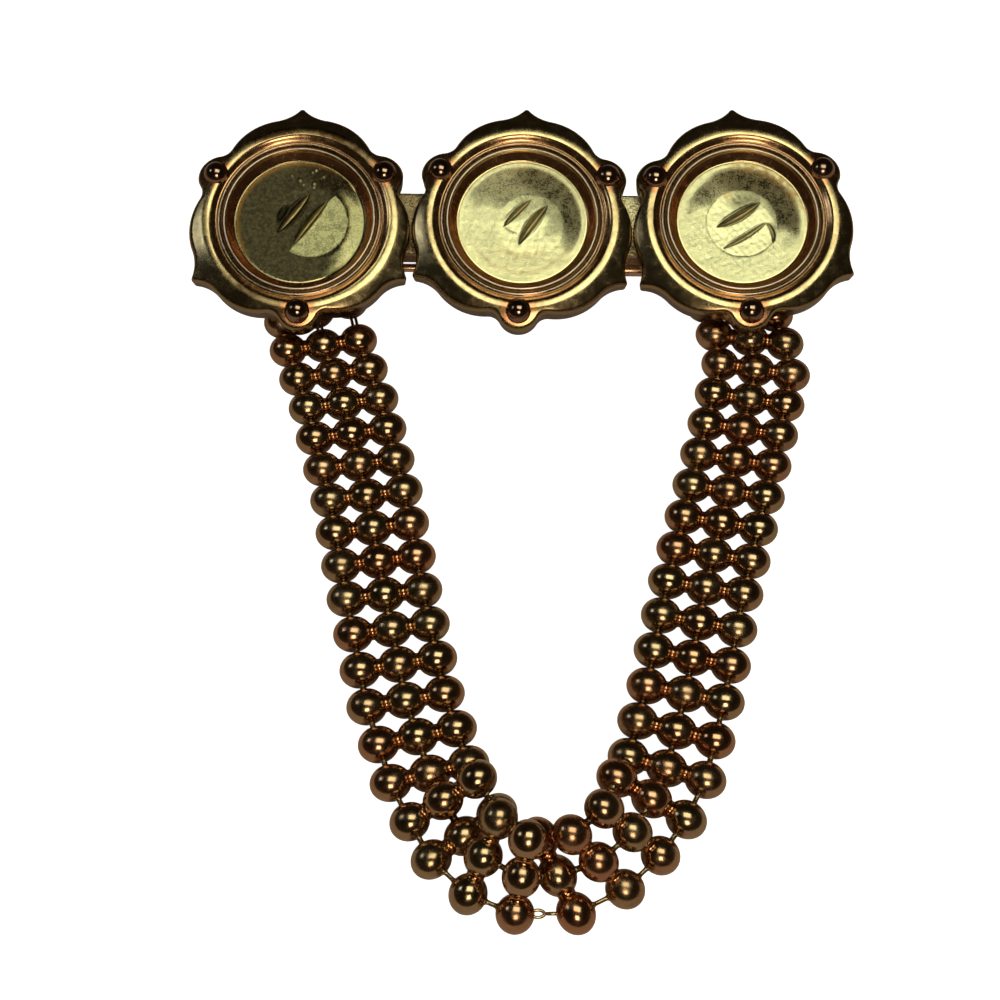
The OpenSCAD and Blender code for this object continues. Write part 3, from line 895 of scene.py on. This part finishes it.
def add_flange(rings, medallion, degrees, reach, lumps):
    """The crest, the falling flange, its rounded edge, the wall under it and the hollow back."""
    lobe_places = [polar(LOBE_BEAD_REACH, direction + 60) for direction in POINT_DIRECTIONS]
    lobes = np.exp(-((np.abs((degrees - 90) % 120 - 60)) / 9.0) ** 2)
    shift, crest_shade = medallion.crest(degrees)
    start = PROFILE[-1][0]
    for share in np.linspace(0, 1, 25)[1:-1]:
        radius = start + share * (reach - EDGE_ROUND - start)
        on_crest = crest_shade * (1 - smooth(radius, 10.6, 11.2))
        x, y = radius * rings.cosine, radius * rings.sine
        from_bead = np.minimum.reduce([np.hypot(x - place[0], y - place[1]) for place in lobe_places])
        # Here the hollow mark is painted shade: darker in the lobes' directions, outside the crest and
        # where crest() dims it; the copper round each lobe bead's foot is a painted reflection of the
        # bead
        rings.add(radius, flange_height(radius - shift) + lumps,
                  hollow=np.maximum.reduce([0.6 * lobes, 0.3 * smooth(radius, 10.65, 11.1), on_crest]),
                  copper=0.85 * (1 - smooth(from_bead, 1.55, 2.3)),
                  tone=1.2 * smooth(radius, 9.6, 9.9) * (1 - smooth(radius, 10.6, 10.9)))
    # The rounded edge and the wall under it are painted darker still: painted shade
    for inset in (EDGE_ROUND, 0.26, 0.13, 0.045, 0.0):
        drop = EDGE_ROUND - math.sqrt(max(EDGE_ROUND ** 2 - (EDGE_ROUND - inset) ** 2, 0))
        radius = reach - inset
        rings.add(radius, flange_height(radius - shift) + lumps - drop, hollow=0.5)
    top = flange_height(reach - shift) - EDGE_ROUND
    for share in (0.15, 0.35, 0.6, 0.85, 0.95):
        rings.add(reach - 0.18 * share, top + (UNDERSIDE - top) * share, hollow=0.85)
    rings.add(reach - 0.26, UNDERSIDE, hollow=0.2)
    for inset, level in ((1.1, 0.0), (1.3, 0.08), (1.5, 0.38), (BACK_INSET, BACK_DEPTH)):
        rings.add(reach - inset, UNDERSIDE + level, hollow=0.3)
    for share in (0.75, 0.5, 0.25, 0.001):
        rings.add((reach - BACK_INSET) * share, UNDERSIDE + BACK_DEPTH, hollow=0.3)


def medallion_shape(medallion):
    """The casting and its lobe beads, in the medallion's own frame."""
    degrees = np.arange(COLUMNS) * 360 / COLUMNS
    cosine, sine = np.cos(np.radians(degrees)), np.sin(np.radians(degrees))
    lumps = 0.012 * uneven(cosine * 9, sine * 9, medallion.seed + 20, low=0.4, high=1.4)
    shape = Shape()
    rings = Rings(cosine, sine)
    rings.add(*add_cup_floor(shape, medallion, cosine, sine))
    add_bezel(rings, medallion, lumps)
    add_flange(rings, medallion, degrees, outline_reach(degrees), lumps)
    rings.add_to(shape)
    shape.faces.append(tuple(range(shape.count - COLUMNS, shape.count)))
    shape.finishes.append(CASTING)
    for number, direction in enumerate(POINT_DIRECTIONS):
        x, y = polar(LOBE_BEAD_REACH, direction + 60)
        axis = (0.2, 0.1 * number, 1)
        shape.add_ball((x, y, LOBE_BEAD_HEIGHT), LOBE_BEAD_RADIUS, axis, 44, 26, LOBE_BEAD, tone=0.2)
    return shape


medallions = (
    LeftMedallion(
        "left", x=-24.45, turn=0.2, seed=11, disc=(1.2, 0.0, 4.1), disc_depth=0.02,
        gouges=[((0.95, 3.3), (-2.5, -1.2), 1.15, 0.42, 0.12),
                ((3.05, 2.55), (-0.7, -2.65), 0.85, 0.36, -0.1)],
        crumbs=[(1.7, 6.1, 0.2), (1.3, 5.85, 0.15), (2.05, 6.3, 0.1), (-0.1, 4.9, 0.2),
                (1.5, 4.5, 0.2), (1.45, 4.1, 0.14), (2.55, 5.3, 0.16), (2.3, 5.1, 0.1),
                (-1.0, 5.5, 0.15), (0.3, 4.4, 0.12)],
        holes=[((-1.55, 2.0), (-2.4, 0.2), 0.85)]),
    MiddleMedallion(
        "middle", x=0.1, turn=-2.4, seed=12, disc=(1.0, -0.4, 3.8), disc_depth=0.004,
        gouges=[((0.9, 2.7), (-2.0, -0.6), 0.72, 0.36, -0.12),
                ((2.75, 2.1), (-0.3, -2.65), 0.95, 0.4, -0.15),
                ((-2.0, -0.6), (-0.45, -1.35), 0.14, 0.06, -0.1)]),
    RightMedallion(
        "right", x=24.4, turn=3.1, seed=13, disc=(0.0, -0.1, 3.95), disc_depth=0.02,
        gouges=[((2.2, 2.25), (-2.85, -0.45), 0.95, 0.38, 0.15),
                ((2.7, -0.1), (-2.3, -2.95), 0.55, 0.3, 0.2),
                ((2.7, -0.1), (3.2, -2.7), 0.5, 0.25, 0.35)]),
)

for medallion in medallions:
    finishes = [casting_gold, medallion.cup, lobe_bead_gold]
    piece = medallion_shape(medallion).make(
        medallion.name + "_casting", finishes, bar_place(medallion.x, 0, medallion.turn))
    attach(piece, BODY)
    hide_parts(medallion.name + "_medallion")


# ---- Chain ----

def row_value(row, value):
    """One value of a row, drawn evenly between the listed rows."""
    return np.interp(row, PLACED_ROWS["row"], PLACED_ROWS[value])


def row_direction(row):
    """The direction from a row's outer bead to its inner one."""
    turn, rise = np.radians(row_value(row, "turn")), np.radians(row_value(row, "rise"))
    return np.array((math.cos(turn) * math.cos(rise), math.sin(turn) * math.cos(rise), math.sin(rise)))


def bead_place(row, side):
    """The centre of a bead. The outer bead of each row lies on the surface."""
    rise = math.radians(row_value(row, "rise"))
    height = CAD_BEAD_RADIUS + BEAD_SPACING * math.sin(rise)
    middle = np.array((row_value(row, "x"), BAR_Y + row_value(row, "y"), height))
    return middle + side * BEAD_SPACING * row_direction(row)


def add_link(shape, row, side):
    """The wire between two beads of a strand, flared where it enters them."""
    start, end = bead_place(row, side), bead_place(row + 1, side)
    way = end - start
    span = np.linalg.norm(way)
    way = way / span
    if row == 0 and side != OUTER:
        # Two wires side by side, as they show under the left medallion
        sideways = np.cross(way, (0, 0, 1))
        sideways /= np.linalg.norm(sideways)
        inset = BEAD_RADIUS - 0.25
        for shift in (-0.24, 0.24):
            path = [start + way * along + sideways * shift
                    for along in np.linspace(inset, span - inset, 8)]
            shape.add_wire(path, LINK_WIRE, 10, LINK, hollow=0.2)
        return
    if row == LAST_LEFT_ROW and side == OUTER:
        # Two rings of wire, one through the other, where the halves of the chain meet
        turns = np.linspace(0, 2 * math.pi, 28, endpoint=False)
        for along, flat in ((BEAD_RADIUS + 0.30, (0, 0, 1)), (span - BEAD_RADIUS - 0.36, (0, 1, 0.4))):
            second = np.cross(way, flat)
            second /= np.linalg.norm(second)
            path = [start + way * along + 0.62 * math.cos(turn) * way + 0.36 * math.sin(turn) * second
                    for turn in turns]
            shape.add_wire(path, LINK_WIRE, 10, LINK, closed=True, tone=-1.0)
        return
    gap = max(span - 2 * BEAD_RADIUS - TIGHT_GAP, 0)
    waist = LINK_WAIST + 0.17 * math.exp(-gap / 0.3)
    half = span / 2 - BEAD_RADIUS + 0.12
    shares = np.linspace(-1, 1, 13)
    profile = [(span / 2 + share * half, waist + (LINK_FLARE - waist) * abs(share) ** (3 + 4 * gap))
               for share in shares]
    # Links in tight gaps between beads are painted darker: painted shade
    shape.add_turned(start, way, profile, 14, LINK, hollow=0.2 + 0.6 * math.exp(-gap / 0.4))


def add_solder(shape, row, side):
    """The wide concave neck between two beads of a row."""
    start, end = bead_place(row, side), bead_place(row, side + 1)
    profile = [(BEAD_SPACING / 2 + off, NECK_RADIUS + 1.1 * off * off)
               for off in np.linspace(-NECK_HALF, NECK_HALF, 11)]
    shape.add_turned(start, end - start, profile, 28, NECK)


def chain_shape(rows, links, seed):
    """Rows of beads, and the links that go on from some rows to the next."""
    draw = np.random.default_rng(seed)
    shape = Shape()
    for row in rows:
        level = math.cos(math.radians(row_value(row, "rise"))) ** 2
        for side in (OUTER, MIDDLE, INNER):
            stretch = 1 + (BEAD_STRETCH - 1) * level + draw.uniform(-0.01, 0.01)
            shape.add_ball(bead_place(row, side), BEAD_RADIUS, row_direction(row), 40, 24, BEAD,
                           stretch, tone=draw.uniform(-1, 1), copper=0.7 * draw.random() ** 2)
        for side in (OUTER, MIDDLE):
            add_solder(shape, row, side)
    for row in links:
        for side in (OUTER, MIDDLE, INNER):
            add_link(shape, row, side)
    return shape


chain_finishes = [bead_gold, link_gold, neck_gold]
left_rows = range(1, LAST_LEFT_ROW + 1)
right_rows = range(LAST_LEFT_ROW + 1, LAST_ROW)

for name, rows, links, seed in (("left_chain", left_rows, range(LAST_LEFT_ROW + 1), 3),
                                ("right_chain", right_rows, right_rows, 4)):
    piece = chain_shape(rows, links, seed).make(name, chain_finishes)
    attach(piece, BODY)
    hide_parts("chain_left" if name == "left_chain" else "chain_right")

# The end rows hang on a post behind the flange of each outer medallion
POST_PROFILE = ((1.5, 1.35), (1.9, 1.1), (2.3, 1.0), (4.6, 1.0))

for name, row in (("left_end_row", 0), ("right_end_row", LAST_ROW)):
    shape = chain_shape([row], [], 5 + row)
    shape.add_turned(bead_place(row, MIDDLE), (0, 0, 1), POST_PROFILE, 28, BEAD, hollow=0.3)
    piece = shape.make(name, chain_finishes)
    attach(piece, BODY)


# ---- Bar ----

def plate_shape():
    """The folded strip: a channel with rounded folds, open at the back."""
    half, low = PLATE_WIDTH / 2, SHEET - PLATE_DEPTH
    outer = [(-half, low), (-half, 0.1), (-half, SHEET), (-half + 0.7, SHEET),
             (half - 0.7, SHEET), (half, SHEET), (half, 0.1), (half, low)]
    inner = [(half - SHEET, low), (half - SHEET, -0.4), (half - SHEET, 0), (half - SHEET - 0.5, 0),
             (-half + SHEET + 0.5, 0), (-half + SHEET, 0), (-half + SHEET, -0.4), (-half + SHEET, low)]
    loop = np.vstack([rounded(outer, 3), rounded(inner, 3)])
    middle = loop.mean(0)
    # The folds of the sheet are painted darker: painted shade in the creases
    fold = smooth(-np.abs(loop[:, 1] - 0.55), -0.4, -0.1)
    fold = fold * smooth(np.abs(loop[:, 0]), half - 0.3, half - 0.05)
    low_fold = smooth(-loop[:, 0], half - 0.25, half - 0.02) * smooth(-loop[:, 1], -0.6, 0.0)
    top_fold = smooth(loop[:, 0], half - 0.30, half - 0.12)
    ends = PLATE_LENGTH / 2
    rings, hollows = [], []
    stations = np.concatenate([[-ends, -ends + 0.08, -ends + 0.2],
                               np.linspace(-ends + 0.6, ends - 0.6, 90),
                               [ends - 0.2, ends - 0.08, ends]])
    for x in stations:
        inset = 0.12 * (1 - smooth(ends - abs(x), 0, 0.2))
        section = loop + inset * np.sign(middle - loop)
        wave = 0.02 * math.sin(x * 1.7) + 0.015 * math.sin(x * 4.3 + 1)
        rings.append(np.column_stack((np.full(len(loop), x + PLATE_SHIFT), section[:, 0],
                                      section[:, 1] + wave * (section[:, 1] > 0.3))))
        # The plate is darker towards its left end
        dull = np.full(len(loop), 0.7 * (1 - smooth(x, -9.0, -4.0)))
        hollows.append(np.maximum.reduce([0.6 * fold, 0.95 * low_fold, 0.97 * top_fold, dull]))
    shape = Shape()
    shape.add_rings(rings, 0, closed=True, hollow=np.concatenate(hollows))
    return shape


plate = plate_shape().make("plate", [plate_gold], bar_place(0, PLATE_RISE, PLATE_TURN), sharp=50)
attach(plate, BODY)
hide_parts("back_plate")

for node, finish in (("pin_stem", pin_gold), ("hinge_body", finding_gold),
                     ("catch_body", finding_gold)):
    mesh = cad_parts[node].data
    mesh.materials.clear()
    mesh.materials.append(finish)


# ---- Surface, lights and camera ----

def add_surface():
    """The pale surface. The camera sees it near white; the metal reflects a dimmer one."""
    mesh = bpy.data.meshes.new("surface")
    half = 2.0
    corners = [(-half, -half, 0), (half, -half, 0), (half, half, 0), (-half, half, 0)]
    mesh.from_pydata(corners, [], [(0, 1, 2, 3)])
    finish = bpy.data.materials.new("pale surface")
    w = Wiring.of(finish)
    shown = w.ordered("AddShader", (
        w.node("Emission", Color=(1, 1, 1, 1), Strength=0.97).outputs[0],
        w.node("BsdfDiffuse", Color=(0.9, 0.9, 0.9, 1)).outputs[0]))
    mirrored = w.ordered("AddShader", (
        w.node("Emission", Color=(1, 0.8, 0.6, 1), Strength=0.012).outputs[0],
        w.node("BsdfDiffuse", Color=(0.46, 0.40, 0.36, 1)).outputs[0]))
    seen = w.node("LightPath").outputs["Is Camera Ray"]
    w.node("OutputMaterial", Surface=w.ordered("MixShader", (seen, mirrored, shown)))
    mesh.materials.append(finish)
    surface = bpy.data.objects.new("surface", mesh)
    scene.collection.objects.link(surface)


def add_light(name, direction, distance, width, height, brightness, colour):
    """A rectangular soft light that faces the brooch; brightness is what a mirror would show of it."""
    lamp = bpy.data.lights.new(name, "AREA")
    lamp.shape = "RECTANGLE"
    lamp.size, lamp.size_y = width, height
    lamp.energy = brightness * math.pi * width * height
    lamp.color = colour
    light = bpy.data.objects.new(name, lamp)
    way = Vector(direction).normalized()
    light.location = way * distance
    light.rotation_euler = way.to_track_quat("Z", "Y").to_euler()
    scene.collection.objects.link(light)
    return light


def add_room():
    """The dim room that the metal mirrors; the camera sees a pale one."""
    world = bpy.data.worlds.new("room")
    scene.world = world
    w = Wiring.of(world)
    up = w.node("SeparateXYZ", Vector=w.node("TexCoord").outputs["Generated"]).outputs[2]
    dim = w.mix(w.between(up, 0.0, 0.75), (0.028, 0.019, 0.012, 1), (0.009, 0.008, 0.006, 1))
    mirrored = w.node("Background", Color=dim, Strength=1.0).outputs[0]
    shown = w.node("Background", Color=(1, 1, 1, 1), Strength=1.0).outputs[0]
    seen = w.node("LightPath").outputs["Is Camera Ray"]
    w.node("OutputWorld", Surface=w.ordered("MixShader", (seen, mirrored, shown)))


def add_camera():
    """The camera looks down on the brooch at 30 degrees from upright, as in the photo."""
    scene.view_settings.view_transform = "Standard"
    camera = bpy.data.objects.new("camera", bpy.data.cameras.new("camera"))
    camera.data.lens = 71.39
    camera.data.sensor_width = 36.0
    camera.data.clip_start = 0.01
    camera.data.clip_end = 20.0
    camera.location = Vector((-2.35, -103.9, 184.0)) * MM
    camera.rotation_euler = (math.radians(30), 0, 0)
    scene.collection.objects.link(camera)
    scene.camera = camera


add_surface()
add_room()
add_light("overhead panel", (0.12, -0.015, 0.99), 0.55, 0.24, 0.34, 2.65, (0.96, 1.0, 0.78))
add_light("warm lamp", (0.06, -0.69, 0.72), 0.50, 0.15, 0.15, 6.0, (1.0, 0.86, 0.66))
add_light("side glow", (-0.73, 0.16, 0.67), 0.60, 0.14, 0.13, 1.9, (0.78, 0.92, 1.0))
fill = add_light("surface lamp", (0.04, -0.6, 0.8), 0.50, 0.10, 0.10, 20.0, (1.0, 0.94, 0.86))
fill.visible_glossy = False
add_camera()
